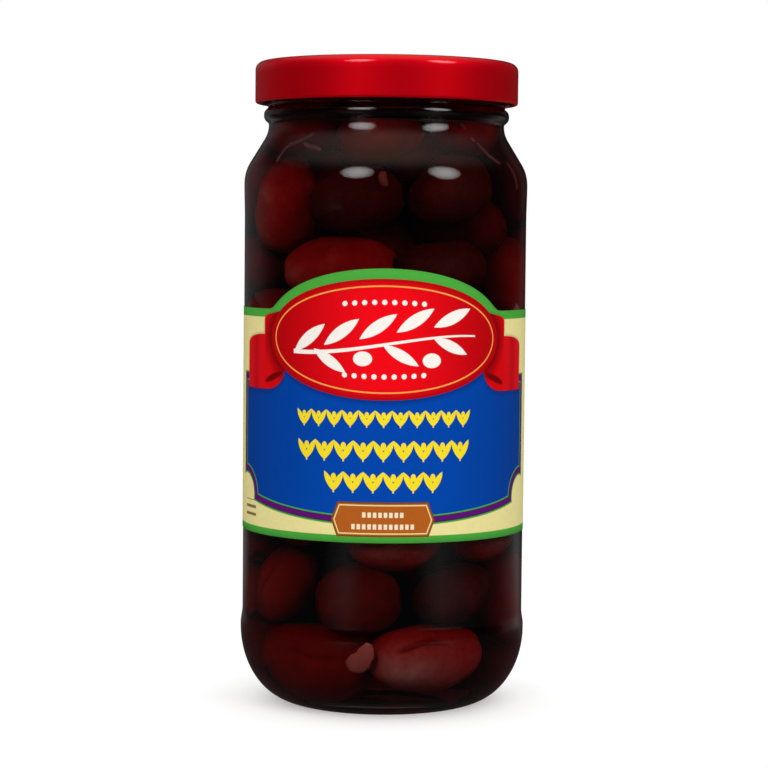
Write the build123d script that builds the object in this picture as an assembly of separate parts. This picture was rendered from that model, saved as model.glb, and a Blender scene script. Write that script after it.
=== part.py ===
from build123d import *
import os
from math import cos, degrees, exp, log, pi, radians, sin, sqrt

# A 16 fl oz glass jar of pitted olives in brine: clear glass jar, twist-off steel lid,
# wrap-round paper label with an arched front, the brine and the olives heaped in it.
# Millimetres, +Z up, the origin is the centre of the base, and the label's front faces -Y.

# ---- glass: outside --------------------------------------------------------------------
PUSH_UP = 3.0            # height of the domed base's centre above the bearing ring
BEARING_IN_R = 20.2      # the flat ring that the jar stands on
BEARING_OUT_R = 21.9
HEEL_R = 35.9            # rounded bulge below the label panel
HEEL_TOP_Z = 18.9
PANEL_R = 35.45          # label panel, set back a little between heel and shoulder
PANEL_LOW_Z = 21.5
PANEL_TOP_Z = 123.4
SHOULDER_R = 35.6
SHOULDER_LOW_Z = 125.2
SHOULDER_Z = 130.4       # where the shoulder starts to round in
SHOULDER_SLOPE = 31.5    # degrees from vertical, between its two rounds
SHOULDER_ROUND = 10.0
NECK_R = 29.55
NECK_ROUND = 7.0
BEAD_R = 30.85           # transfer bead round the neck
BEAD_Z = 147.8
BEAD_LOW_Z = 146.4
BEAD_TOP_Z = 149.3
FINISH_R = 29.9          # wall of the screw finish
RIM_Z = 159.7
RIM_ROUND = 1.1          # outer edge of the rim
LIP_ROUND = 0.9          # and its inner edge

# ---- glass: inside ---------------------------------------------------------------------
FLOOR_MID_Z = 7.0
FLOOR_R = 19.5
FLOOR_Z = 4.6
INSIDE_R = 32.75
INSIDE_HEEL_Z = 19.6
INSIDE_ROUND = 7.3
INSIDE_NECK_R = 26.9
INSIDE_NECK_ROUND = 9.65

# ---- interrupted thread ----------------------------------------------------------------
THREADS = 4
THREAD_R = 31.2
THREAD_Z = 154.2
THREAD_HALF = 1.2        # half height of a ridge at its root, inside the wall
THREAD_ARC = 76.0        # degrees round the neck
THREAD_TILT = 3.5        # slope of each ridge, degrees

# ---- lid -------------------------------------------------------------------------------
STEEL = 0.3
LID_R = 33.0
LID_TOP_Z = 160.7
LID_LOW_Z = 150.35
LID_ROUND = 2.0
LINER_IN_R, LINER_OUT_R = 26.6, 31.0
CROWN_IN_R = 27.2        # inner edge of the raised ring over the rim
PANEL_EDGE_R = 25.6      # sunk middle panel
LID_PANEL_Z = 159.9
BUTTON_R = 12.0          # freshness button
BUTTON_RISE = 0.25
CURL_IN_R = 31.75
LUG_IN_R = 30.9
LUG_ARC = 12.0

# ---- label -----------------------------------------------------------------------------
PAPER = 0.12
LABEL_LOW_Z = 44.0
LABEL_SIDE_Z = 99.5      # straight top edge at the sides and back
ARCH_MID_Z = 92.75       # centre of the ellipse that the front's arch follows
ARCH_HALF_W = 33.6       # measured round the jar
ARCH_HALF_H = 16.95
ARCH_BLEND = 0.7         # softness of the arch's feet
LABEL_GAP = 10.0         # bare glass between the label's two ends, at the back

# ---- contents --------------------------------------------------------------------------
BRINE_Z = 149.0
CORE_R = 21.5
OLIVE_R = 8.6            # an olive is three balls in a row: the middle one
OLIVE_END_R = 7.6        # and its two rounded ends, centred this far from the middle
OLIVE_END_OFF = 5.2
RING_R = 22.9            # centres of the olives that lie against the wall
RINGS = 7
RING_LOW_Z, RING_STEP = 16.5, 18.2
PER_RING = 6
TOP_Z, TOP_R, TOP_COUNT = 136.0, 13.5, 4
HEAP_LOW_Z, HEAP_TOP_Z = 11.0, 144.0
HEAP_GAP = 1.2           # brine left between the heap's outline and the glass
LEVELS, BEARINGS = 31, 36


def revolved(*runs):
    """The solid of revolution of a half section whose runs start and end on the axis."""
    edges = [edge for run in runs for edge in run.edges()]
    axis = Line(runs[-1] @ 1, runs[0] @ 0)
    return revolve(Plane.XZ * Face(Wire([*edges, axis])), Axis.Z)


def shoulder(r_low, r_high, round_low, round_high):
    """Round in from vertical, straight slope, and round back to vertical at the neck."""
    turn = radians(SHOULDER_SLOPE)
    run = (r_low - r_high - (round_low + round_high) * (1 - cos(turn))) / sin(turn)
    low = JernArc((r_low, SHOULDER_Z), (0, 1), round_low, SHOULDER_SLOPE)
    slope = Line(low @ 1, (low @ 1) + (low % 1) * run)
    high = JernArc(slope @ 1, slope % 1, round_high, -SHOULDER_SLOPE)
    return [low, slope, high]


def outside():
    """The jar's outer form as a solid, from the domed base to the rim."""
    rise = shoulder(SHOULDER_R, NECK_R, SHOULDER_ROUND, NECK_ROUND)
    mid_r = BEARING_IN_R / 2
    cap_r = (BEARING_IN_R**2 + PUSH_UP**2) / (2 * PUSH_UP)
    dome_z = PUSH_UP - cap_r + sqrt(cap_r**2 - mid_r**2)
    heel = EllipticalCenterArc(
        (BEARING_OUT_R, HEEL_TOP_Z), HEEL_R - BEARING_OUT_R, HEEL_TOP_Z, 270, arc_size=90
    )
    rim = JernArc((FINISH_R, RIM_Z - RIM_ROUND), (0, 1), RIM_ROUND, 90)
    return revolved(
        ThreePointArc((0, PUSH_UP), (mid_r, dome_z), (BEARING_IN_R, 0)),
        Line((BEARING_IN_R, 0), (BEARING_OUT_R, 0)),
        heel,
        Polyline(
            (HEEL_R, HEEL_TOP_Z), (HEEL_R, HEEL_TOP_Z + 1.3), (PANEL_R, PANEL_LOW_Z),
            (PANEL_R, PANEL_TOP_Z), (SHOULDER_R, SHOULDER_LOW_Z), (SHOULDER_R, SHOULDER_Z),
        ),
        *rise,
        Line(rise[-1] @ 1, (NECK_R, BEAD_LOW_Z)),
        ThreePointArc((NECK_R, BEAD_LOW_Z), (BEAD_R, BEAD_Z), (FINISH_R, BEAD_TOP_Z)),
        Line((FINISH_R, BEAD_TOP_Z), (FINISH_R, RIM_Z - RIM_ROUND)),
        rim,
        Line(rim @ 1, (0, RIM_Z)),
    )


def cavity(top_z):
    """The jar's inside up to top_z, straight above the neck."""
    rise = shoulder(INSIDE_R, INSIDE_NECK_R, INSIDE_ROUND, INSIDE_NECK_ROUND)
    heel = EllipticalCenterArc(
        (FLOOR_R, INSIDE_HEEL_Z), INSIDE_R - FLOOR_R, INSIDE_HEEL_Z - FLOOR_Z, 270, arc_size=90
    )
    return revolved(
        Spline((0, FLOOR_MID_Z), (FLOOR_R, FLOOR_Z), tangents=[(1, 0), (1, 0)]),
        heel,
        Line((INSIDE_R, INSIDE_HEEL_Z), (INSIDE_R, SHOULDER_Z)),
        *rise,
        Line(rise[-1] @ 1, (INSIDE_NECK_R, top_z)),
        Line((INSIDE_NECK_R, top_z), (0, top_z)),
    )


def thread_ridges():
    """Sloping ridges round the finish, each a tilted arc with slanting sides."""
    root_r = FINISH_R - 0.7
    section = Polyline(
        (root_r, -THREAD_HALF), (THREAD_R, -THREAD_HALF / 3), (THREAD_R, THREAD_HALF / 4),
        (root_r, THREAD_HALF), close=True,
    )
    ridge = revolve(Plane.XZ * Face(Wire(section.edges())), Axis.Z, THREAD_ARC)
    ridge = Pos(0, 0, THREAD_Z) * Rot(THREAD_TILT, 0, 0) * Rot(0, 0, -THREAD_ARC / 2) * ridge
    return [Rot(0, 0, 360 * (i + 0.5) / THREADS) * ridge for i in range(THREADS)]


def glass_jar():
    """The outside with its inside cut away, its thread, and the mouth's inner edge rounded."""
    body = outside() - cavity(RIM_Z + 1) + thread_ridges()
    lip = [e for e in body.edges().filter_by(GeomType.CIRCLE)
           if abs(e.radius - INSIDE_NECK_R) < 1e-3 and abs(e.center().Z - RIM_Z) < 1e-3]
    return fillet(lip, LIP_ROUND)


def lid():
    """Pressed steel: button, sunk panel, raised ring with its liner, skirt, curl and lugs."""
    top = LID_TOP_Z
    inner_r = LID_R - STEEL
    crown = JernArc((LID_R, top - LID_ROUND), (0, 1), LID_ROUND, 90)
    under = JernArc((inner_r, top - LID_ROUND), (0, 1), LID_ROUND - STEEL, 90)
    curl_r = (LID_R - CURL_IN_R) / 2
    curl_z = LID_LOW_Z + curl_r
    button_z = LID_PANEL_Z + BUTTON_RISE
    ring = revolved(
        Polyline((0, button_z), (BUTTON_R, button_z), (BUTTON_R + 2.5, LID_PANEL_Z),
                 (PANEL_EDGE_R, LID_PANEL_Z), (CROWN_IN_R, top), crown @ 1),
        crown,
        Line((LID_R, top - LID_ROUND), (LID_R, curl_z)),
        ThreePointArc((LID_R, curl_z), (LID_R - curl_r, LID_LOW_Z), (CURL_IN_R, curl_z)),
        ThreePointArc((CURL_IN_R, curl_z), (CURL_IN_R + 0.28, curl_z + 0.45),
                      (inner_r, curl_z + 0.75)),
        Line((inner_r, curl_z + 0.75), (inner_r, top - LID_ROUND)),
        under,
        Polyline(under @ 1, (LINER_OUT_R, RIM_Z), (LINER_IN_R, RIM_Z),
                 (PANEL_EDGE_R - 0.4, LID_PANEL_Z - STEEL),
                 (BUTTON_R + 2.6, LID_PANEL_Z - STEEL), (BUTTON_R + 0.1, button_z - STEEL),
                 (0, button_z - STEEL)),
    )
    depth = LID_R - 0.6 - LUG_IN_R
    pad = Pos(LUG_IN_R + depth / 2, curl_z) * Rectangle(depth, 0.9)
    lug = revolve(Plane.XZ * pad, Axis.Z, LUG_ARC)
    start = 180 / THREADS - THREAD_ARC / 2
    return ring + [Rot(0, 0, start + 360 * i / THREADS) * lug for i in range(THREADS)]


def label_top(s):
    """Height of the label's top edge at s mm round the jar from the front's middle: the
    straight side edge and the arch's ellipse, whichever is higher, blended at the feet."""
    def blend(z):
        return ARCH_BLEND * log(1 + exp((z - LABEL_SIDE_Z) / ARCH_BLEND))

    ratio = min(abs(s) / ARCH_HALF_W, 1.0)
    arch_z = ARCH_MID_Z + ARCH_HALF_H * sqrt(1 - ratio**2)
    return LABEL_SIDE_Z + blend(arch_z) - blend(ARCH_MID_Z)


def label():
    """A paper sleeve, cut along its top edge and open down the back."""
    outer_r = PANEL_R + PAPER
    tall = ARCH_MID_Z + ARCH_HALF_H + 2
    wide = outer_r + 5
    turn = 360 - degrees(LABEL_GAP / outer_r)
    strip = Pos(PANEL_R + PAPER / 2, (LABEL_LOW_Z + tall) / 2) * Rectangle(
        PAPER, tall - LABEL_LOW_Z
    )
    sleeve = Rot(0, 0, 270 - turn / 2) * revolve(Plane.XZ * strip, Axis.Z, turn)

    steps = [ARCH_HALF_W * (i / 14 - 1) for i in range(29)]
    edge = Spline(*[(outer_r * sin(s / outer_r), label_top(s)) for s in steps])
    above = Polyline(
        edge @ 1, (wide, LABEL_SIDE_Z), (wide, tall + 1), (-wide, tall + 1),
        (-wide, LABEL_SIDE_Z), edge @ 0,
    )
    sky = Face(Wire([*edge.edges(), *above.edges()]))
    behind = Box(2 * wide, wide, tall, align=(Align.CENTER, Align.MIN, Align.MIN))
    sleeve -= extrude(Plane.XZ * sky, amount=wide, dir=(0, -1, 0))
    return sleeve - Pos(0, 0, LABEL_SIDE_Z) * behind


def balls():
    """Centre and radius of every ball of the outer olives, which lie round the wall in
    rings, uneven in height, lean and turn, with a few more on top in the shoulder."""
    found = []

    def lay(at, r, z, heading, tilt):
        along = Vector(cos(heading) * cos(tilt), sin(heading) * cos(tilt), sin(tilt))
        middle = Vector(r * cos(at), r * sin(at), z)
        for k in (-1, 0, 1):
            found.append((middle + along * (k * OLIVE_END_OFF), OLIVE_END_R if k else OLIVE_R))

    for n in range(RINGS * PER_RING):
        ring, k = divmod(n, PER_RING)
        at = radians(360 * (k + 0.5 * (ring % 2)) / PER_RING + 5 * sin(2.4 * n))
        z = RING_LOW_Z + RING_STEP * ring + 1.8 * sin(3.1 * n)
        lay(at, RING_R + 0.6 * sin(1.7 * n) - (3 if ring == 0 else 0), z,
            at + radians(90), radians(38 * sin(2.1 * n + 0.6)))
    for k in range(TOP_COUNT):
        at = radians(360 * (k + 0.3) / TOP_COUNT)
        lay(at, TOP_R, TOP_Z, at + radians(70), radians(12 * (-1) ** k))
    return found


def wall_at(z):
    """Roughly the inside radius of the glass at height z, never more than the real one."""
    heel = (INSIDE_HEEL_Z - z) / (INSIDE_HEEL_Z - FLOOR_Z)
    if heel > 0:
        return FLOOR_R + (INSIDE_R - FLOOR_R) * sqrt(max(1 - heel**2, 0))
    rise = (z - SHOULDER_Z) / (BEAD_LOW_Z - SHOULDER_Z)
    return INSIDE_R - (INSIDE_R - INSIDE_NECK_R) * min(max(rise * 1.15, 0), 1)


def reach(spots, at, z):
    """How far from the axis the heap comes at a bearing and height: to the far side of the
    outermost ball met there, or to the packed olives behind, and short of the glass."""
    far = CORE_R if z < SHOULDER_Z else 0.7 * CORE_R
    for middle, r in spots:
        across = middle.X * sin(at) - middle.Y * cos(at)
        left = r**2 - across**2 - (z - middle.Z) ** 2
        if left > 0:
            far = max(far, middle.X * cos(at) + middle.Y * sin(at) + sqrt(left))
    return min(far, wall_at(z) - HEAP_GAP)


def olives():
    """The heap as one solid: its uneven outline, softened between neighbouring points and
    carried from level to level."""
    spots = balls()
    step = (HEAP_TOP_Z - HEAP_LOW_Z) / (LEVELS - 1)
    bearings = [2 * pi * k / BEARINGS for k in range(BEARINGS)]
    table = [[reach(spots, at, HEAP_LOW_Z + step * i) for at in bearings] for i in range(LEVELS)]
    sections = []
    for i in range(LEVELS):
        rows = [table[max(i - 1, 0)], table[i], table[min(i + 1, LEVELS - 1)]]
        outline = []
        for k, at in enumerate(bearings):
            r = sum(row[(k + j) % BEARINGS] for row in rows for j in (-1, 0, 1)) / 9
            outline.append((r * cos(at), r * sin(at)))
        sections.append(
            Pos(0, 0, HEAP_LOW_Z + step * i) * Face(Wire([Spline(*outline, periodic=True)]))
        )
    return loft(sections)


def brine(heap):
    return cavity(BRINE_Z) - heap


heap = olives()
pieces = {
    "glass_jar": glass_jar(),
    "lid": lid(),
    "label": label(),
    "olives": heap,
    "brine": brine(heap),
}

os.makedirs("parts", exist_ok=True)
for name, piece in pieces.items():
    piece.label = name
    export_step(piece, f"parts/{name}.step")
    print(name, "solids", len(piece.solids()), "volume cm3", round(piece.volume / 1000, 2))
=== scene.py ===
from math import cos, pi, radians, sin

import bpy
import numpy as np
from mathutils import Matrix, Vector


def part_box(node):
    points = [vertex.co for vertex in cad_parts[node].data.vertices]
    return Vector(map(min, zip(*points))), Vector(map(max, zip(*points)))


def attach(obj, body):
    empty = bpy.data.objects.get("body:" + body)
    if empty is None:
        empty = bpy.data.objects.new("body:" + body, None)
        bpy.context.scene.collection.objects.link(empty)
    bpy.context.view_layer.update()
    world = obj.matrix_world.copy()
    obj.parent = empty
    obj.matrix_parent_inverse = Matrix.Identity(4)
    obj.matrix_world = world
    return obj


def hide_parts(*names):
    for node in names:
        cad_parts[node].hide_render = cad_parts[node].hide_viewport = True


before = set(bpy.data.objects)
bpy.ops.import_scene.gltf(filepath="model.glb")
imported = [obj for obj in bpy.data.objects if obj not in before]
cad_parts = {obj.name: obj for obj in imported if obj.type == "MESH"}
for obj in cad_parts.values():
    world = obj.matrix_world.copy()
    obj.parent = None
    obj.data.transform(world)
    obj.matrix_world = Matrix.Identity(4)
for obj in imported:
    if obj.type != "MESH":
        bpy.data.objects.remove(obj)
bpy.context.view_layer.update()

# %% [markdown]
# # A jar of olives
# A tall glass jar of dark pitted olives in red-brown brine, closed with a red twist-off lid
# and wrapped in a printed paper label. Nearly all of its look comes from light passing
# through things: the glass, then the brine, then back out. So the glass and the brine are
# built as real closed bodies with the right refraction between them, and each olive is a
# separate form standing in the liquid.
#
# Lengths are written in millimetres, as a packer's drawing has them, and turned into metres
# where a mesh is made.

MM = 0.001
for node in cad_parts:
    low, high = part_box(node)
    print(f"  {node}: from {low[2] / MM:.1f} to {high[2] / MM:.1f} mm high")

# %% [markdown]
# ## Curves and surfaces as arrays
# Most of a jar is turned: one half section carried round an axis. A half section here is an
# array of (radius, height) pairs, put together from arcs and straight runs. Sharp corners
# don't exist in moulded glass or pressed steel, so a section is divided finely and blurred
# a little along its length, which rounds every corner by the same small radius.

# %% Half sections


def arc(centre, radii, start, end, steps=24):
    """Points centre + radii * (cos a, sin a), with a from start to end degrees."""
    a = np.radians(np.linspace(start, end, steps))
    return np.stack([centre[0] + radii[0] * np.cos(a), centre[1] + radii[1] * np.sin(a)], -1)


def joined(*runs):
    """One array from several runs of points, with points that repeat left out."""
    points = np.concatenate([np.asarray(run, float).reshape(-1, 2) for run in runs])
    moved = np.linalg.norm(np.diff(points, axis=0), axis=1) > 1e-6
    return points[np.concatenate([[True], moved])]


def softened(points, step, blur):
    """The same line in equal steps, each point averaged with those within about blur of it.
    Both ends stay where they are, and ends on the axis stay level across it."""
    run = np.concatenate([[0], np.cumsum(np.linalg.norm(np.diff(points, axis=0), axis=1))])
    even = np.linspace(0, run[-1], int(run[-1] / step) + 2)
    line = np.stack([np.interp(even, run, points[:, k]) for k in (0, 1)], -1)
    reach = int(3 * blur / step) + 1
    weight = np.exp(-0.5 * (np.arange(-reach, reach + 1) * step / blur) ** 2)
    weight /= weight.sum()
    mirror = np.array([-1, 1])
    wide = np.concatenate([line[reach:0:-1] * mirror, line, line[-2:-reach - 2:-1] * mirror])
    soft = np.stack([np.convolve(wide[:, k], weight, "valid") for k in (0, 1)], -1)
    soft[[0, -1], 0] = 0
    return soft


def outward(points):
    """Unit normals of a half section, on the side that faces away from its solid."""
    along = np.gradient(points, axis=0)
    along /= np.linalg.norm(along, axis=1, keepdims=True)
    return np.stack([along[:, 1], -along[:, 0]], -1)


# %% Meshes from grids


def grid_faces(rows, columns, around=False):
    """Four-cornered faces over a grid of points numbered row by row. With around, the last
    column joins the first."""
    row, column = np.meshgrid(
        np.arange(rows - 1), np.arange(columns if around else columns - 1), indexing="ij"
    )
    following = (column + 1) % columns
    corners = [row * columns + column, row * columns + following]
    corners += [(row + 1) * columns + following, (row + 1) * columns + column]
    return np.stack(corners, -1).reshape(-1, 4)


def make_piece(name, points_mm, faces, material, smooth=True):
    """A mesh object at the origin from points in millimetres and a list of faces."""
    mesh = bpy.data.meshes.new(name)
    mesh.from_pydata((np.asarray(points_mm) * MM).tolist(), [], faces)
    mesh.validate()
    if smooth:
        mesh.shade_smooth()
    else:
        mesh.shade_flat()
    piece = bpy.data.objects.new(name, mesh)
    bpy.context.scene.collection.objects.link(piece)
    if material is not None:
        mesh.materials.append(material)
    print(f"{name}: {len(mesh.vertices)} points, {len(mesh.polygons)} faces")
    return piece


def turned(name, section, material, segments=160, push=None):
    """The surface (r cos a, r sin a, z) for each (r, z) of a section that starts and ends on
    the axis, closed by one point at each end. push(angle, radius, height) adds to r."""
    angle = 2 * pi * np.arange(segments) / segments
    a, r = np.meshgrid(angle, section[1:-1, 0])
    z = np.repeat(section[1:-1, 1:], segments, axis=1)
    if push is not None:
        r = r + push(a, r, z)
    rows = len(r)
    body = np.stack([r * np.cos(a), r * np.sin(a), z], -1).reshape(-1, 3)
    ends = [(0, 0, section[0, 1]), (0, 0, section[-1, 1])]
    k = np.arange(segments)
    after = (k + 1) % segments
    first, last = rows * segments, rows * segments + 1
    top = (rows - 1) * segments
    faces = grid_faces(rows, segments, around=True).tolist()
    faces += np.stack([np.full(segments, first), after, k], -1).tolist()
    faces += np.stack([top + k, top + after, np.full(segments, last)], -1).tolist()
    return make_piece(name, np.concatenate([body, ends]), faces, material)


def of_faces(piece, what):
    """One row for each face of a piece: its "center" in metres, or its "normal"."""
    values = np.empty(len(piece.data.polygons) * 3)
    piece.data.polygons.foreach_get(what, values)
    return values.reshape(-1, 3)


# %% [markdown]
# ## Materials written as formulas
# A procedural finish is a formula over the surface: how far a point is from an edge, how
# strong the mottling is there, which colour follows from that. Node by node such a formula
# gets long, so a socket is wrapped in a small class whose plus, minus and times add the
# Math nodes.

# %% A socket that can be added and multiplied


class Wire:
    """One output socket of a node, or a plain number, as a value in a formula."""

    def __init__(self, paint, socket):
        self.paint, self.socket = paint, socket

    def math(self, operation, *others):
        return self.paint.node("ShaderNodeMath", {"operation": operation}, self, *others)

    def __add__(self, other):
        return self.math("ADD", other)

    def __sub__(self, other):
        return self.math("SUBTRACT", other)

    def __mul__(self, other):
        return self.math("MULTIPLY", other)

    def __truediv__(self, other):
        return self.math("DIVIDE", other)

    def __rsub__(self, other):
        return self.paint.node("ShaderNodeMath", {"operation": "SUBTRACT"}, other, self)

    def __rtruediv__(self, other):
        return self.paint.node("ShaderNodeMath", {"operation": "DIVIDE"}, other, self)

    def __neg__(self):
        return self * -1

    def __pow__(self, other):
        return self.math("POWER", other)

    def __abs__(self):
        return self.math("ABSOLUTE")

    __radd__, __rmul__ = __add__, __mul__

    def least(self, other):
        return self.math("MINIMUM", other)

    def most(self, other):
        return self.math("MAXIMUM", other)

    def root(self):
        return self.most(0).math("SQRT")

    def clipped(self):
        return self.least(1).most(0)


class Paint:
    """A material's node tree, with a Principled shader that its formulas feed."""

    def __init__(self, name, **plain):
        self.material = bpy.data.materials.new(name)
        self.material.use_nodes = True
        self.tree = self.material.node_tree
        self.shader = self.tree.nodes["Principled BSDF"]
        self.output = self.tree.nodes["Material Output"]
        for socket, value in plain.items():
            self.shader.inputs[socket.replace("_", " ")].default_value = value

    def node(self, kind, settings=None, *values, out=0, **named):
        """Any node: its settings first, then its inputs in order or by name, and then one
        of its outputs as a Wire."""
        made = self.tree.nodes.new(kind)
        for setting, value in (settings or {}).items():
            setattr(made, setting, value)
        wanted = list(enumerate(values))
        wanted += [(key.replace("_", " "), value) for key, value in named.items()]
        for key, value in wanted:
            self.feed(made.inputs[key], value)
        return Wire(self, made.outputs[out])

    def feed(self, socket, value):
        if isinstance(value, Wire):
            self.tree.links.new(value.socket, socket)
        else:
            socket.default_value = (*value, 1) if (
                isinstance(value, tuple) and len(value) == 3 and socket.type == "RGBA"
            ) else value

    def place(self, kind="Object"):
        return self.node("ShaderNodeTexCoord", {}, out=kind)

    def split(self, vector):
        node = self.tree.nodes.new("ShaderNodeSeparateXYZ")
        self.tree.links.new(vector.socket, node.inputs[0])
        return [Wire(self, socket) for socket in node.outputs]

    def noise(self, scale, detail=2.0, roughness=0.5, at=None, stretch=None):
        at = at or self.place()
        if stretch:
            at = self.node("ShaderNodeVectorMath", {"operation": "MULTIPLY"}, at, stretch)
        return self.node("ShaderNodeTexNoise", {}, Vector=at, Scale=scale, Detail=detail,
                         Roughness=roughness)

    def mix(self, share, first, second):
        """Two colours mixed, second by share."""
        made = self.tree.nodes.new("ShaderNodeMix")
        made.data_type = "RGBA"
        for index, value in ((0, share), (6, first), (7, second)):
            self.feed(made.inputs[index], value)
        return Wire(self, made.outputs[2])

    def blend(self, share, first, second):
        """Two shaders mixed, second by share."""
        return self.node("ShaderNodeMixShader", {}, share, first, second)

    def bump(self, height, strength, distance):
        return self.node("ShaderNodeBump", {}, Strength=strength, Distance=distance,
                         Height=height)

    def set(self, **sockets):
        for socket, value in sockets.items():
            self.feed(self.shader.inputs[socket.replace("_", " ")], value)
        return self

    def surface(self, shader):
        self.tree.links.new(shader.socket, self.output.inputs["Surface"])

    def own(self):
        return Wire(self, self.shader.outputs[0])


def srgb(red, green, blue):
    """A colour as a screen has it, 0 to 255, as the amounts of light that Blender mixes."""
    part = np.array([red, green, blue]) / 255
    light = np.where(part <= 0.04045, part / 12.92, ((part + 0.055) / 1.055) ** 2.4)
    return tuple(float(v) for v in light)


print("a cream of 232, 222, 160 is", [round(v, 3) for v in srgb(232, 222, 160)])

# %% [markdown]
# ## Glass
# Soda-lime glass bends light by 1.5 and brine by 1.34. Where the two touch, the light feels
# only the difference between them, so the wetted part of the jar's inside has that ratio as
# its own refraction, and the side of the brine, which lies just inside the glass, has none.
# Nothing then reflects between glass and brine that wouldn't in the real jar. Lamps reach
# the contents straight through, which leaves no speckle of stray light. The outside has the
# very slight unevenness that hot glass takes from its mould. The brine's stain is in its
# volume, so what lies deeper looks darker and redder.

# %% Glass and brine
GLASS_BEND, BRINE_BEND = 1.5, 1.34
GLASS_TINT, NO_TINT = (0.975, 0.985, 0.98), (1.0, 1.0, 1.0)
BRINE_STAIN, STAIN_STRENGTH = (0.87, 0.08, 0.05), 300.0


def see_through(name, bend, colour, ripple=0.0):
    """Polished transparent stuff with that index of refraction and a faint ripple, open to
    the straight rays that ask whether a lamp is in sight."""
    paint = Paint(name, IOR=bend, Roughness=0.0, Transmission_Weight=1.0)
    tint = paint.noise(18.0, 1.0)
    paint.set(Base_Color=paint.mix(tint, colour, tuple(0.985 * c for c in colour)))
    if ripple:
        waves = paint.noise(26.0, 1.5, 0.45, stretch=(1.0, 1.0, 0.45))
        paint.set(Normal=paint.bump(waves, 1.0, ripple * MM))
    lamps = paint.node("ShaderNodeLightPath", {}, out="Is Shadow Ray")
    straight = paint.node("ShaderNodeBsdfTransparent", {}, Color=colour)
    paint.surface(paint.blend(lamps, paint.own(), straight))
    return paint


glass_dry = see_through("clear_glass", GLASS_BEND, GLASS_TINT, ripple=0.35)
glass_wet = see_through("clear_glass_wet", GLASS_BEND / BRINE_BEND, GLASS_TINT)
brine_side = see_through("brine", 1.0, NO_TINT)
brine_top = see_through("brine_surface", BRINE_BEND, NO_TINT, ripple=0.2)
for paint in (brine_side, brine_top):
    stain = paint.node("ShaderNodeVolumeAbsorption", {}, Color=BRINE_STAIN,
                       Density=STAIN_STRENGTH)
    paint.tree.links.new(stain.socket, paint.output.inputs["Volume"])
print("glass against brine bends light by", round(GLASS_BEND / BRINE_BEND, 3))

# %% [markdown]
# ## The jar
# The half section starts at the domed push-up under the base, goes out over the flat ring
# that the jar stands on, up the rounded heel, the label panel (set back by a fraction of a
# millimetre, so that labels don't rub), the shoulder, the neck with its bead, and the screw
# finish, and comes back down the inside. The four short thread ridges are a push outwards
# on the finish.

# %% Outside and inside of the glass
SHOULDER_TURN = 31.5
SHOULDER_Z = 130.4


def shoulder(r_low, r_high, round_low, round_high):
    """Round in from the vertical wall, straight slope, round back to the vertical neck."""
    turn = radians(SHOULDER_TURN)
    run = (r_low - r_high - (round_low + round_high) * (1 - cos(turn))) / sin(turn)
    top_z = SHOULDER_Z + (round_low + round_high) * sin(turn) + run * cos(turn)
    low = arc((r_low - round_low, SHOULDER_Z), (round_low, round_low), 0, SHOULDER_TURN)
    high = arc((r_high + round_high, top_z), (round_high, round_high),
               180 + SHOULDER_TURN, 180)
    return joined(low, high)


PUSH_UP_R, PUSH_UP_HIGH = 20.2, 3.0
sphere_r = (PUSH_UP_R**2 + PUSH_UP_HIGH**2) / (2 * PUSH_UP_HIGH)
dome_r = np.linspace(0, PUSH_UP_R, 30)
dome = np.stack([dome_r, PUSH_UP_HIGH - sphere_r + np.sqrt(sphere_r**2 - dome_r**2)], -1)
bead = arc((29.5, 147.4), (1.35, 1.8), -88, 82)
outside = joined(
    dome, (21.9, 0), arc((21.9, 18.9), (14.0, 18.9), -90, 0, 40), (35.9, 19.9), (35.45, 22.9),
    (35.45, 122.6), (35.6, 129.0), (35.6, SHOULDER_Z), shoulder(35.6, 29.55, 10.0, 7.0),
    (29.55, 145.6), bead, (29.8, 149.3), (29.9, 158.6), arc((28.8, 158.6), (1.1, 1.1), 0, 90),
)
FLOOR_R, FLOOR_TOP_Z, FLOOR_FALL = 19.5, 7.0, 2.4
INSIDE_R, INSIDE_NECK_R = 32.75, 26.9
floor_r = np.linspace(0, FLOOR_R, 24)
floor_share = floor_r / FLOOR_R
floor_z = FLOOR_TOP_Z - FLOOR_FALL * (3 * floor_share**2 - 2 * floor_share**3)
inside = joined(
    np.stack([floor_r, floor_z], -1), arc((FLOOR_R, 19.6), (13.25, 15.0), -90, 0, 40),
    (INSIDE_R, SHOULDER_Z), shoulder(INSIDE_R, INSIDE_NECK_R, 7.3, 9.65),
    (INSIDE_NECK_R, 158.8),
)
lip = arc((27.8, 158.8), (0.9, 0.9), 90, 180)
half_glass = softened(joined(outside, lip, inside[::-1]), 0.6, 0.35)

THREAD_Z, THREAD_R, THREAD_SLOPE = 154.2, 31.2, radians(3.5)
RIDGE_HALF, RIDGE_OUT = 1.3, 1.25


def thread(angle, r, z):
    """Four ridges round the outside of the finish, each a parabola across, sloping a little
    as it goes round and fading at both ends."""
    turn = (angle - pi / 4) % (pi / 2)
    turn = np.where(turn > pi / 4, turn - pi / 2, turn)
    middle = THREAD_Z + THREAD_R * np.sin(turn) * np.tan(THREAD_SLOPE)
    across = np.clip(1 - ((z - middle) / RIDGE_HALF) ** 2, 0, 1)
    ends = np.clip((radians(38) - np.abs(turn)) / radians(5), 0, 1)
    on_finish = (r > 29) & (z > 150)
    return np.where(on_finish, RIDGE_OUT * across * ends, 0)


jar = turned("glass_jar_wall", half_glass, glass_dry.material, segments=156, push=thread)
print("the glass wall's section has", len(half_glass), "points")

# %% [markdown]
# ## The brine
# The brine is a body of its own, from the floor of the jar to the level in the neck. It
# reaches two tenths of a millimetre into the glass, because two surfaces in exactly the
# same place would flicker and a gap would shine like a silver film of air. At its edge the
# surface creeps up the glass a little, as water does.

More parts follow.
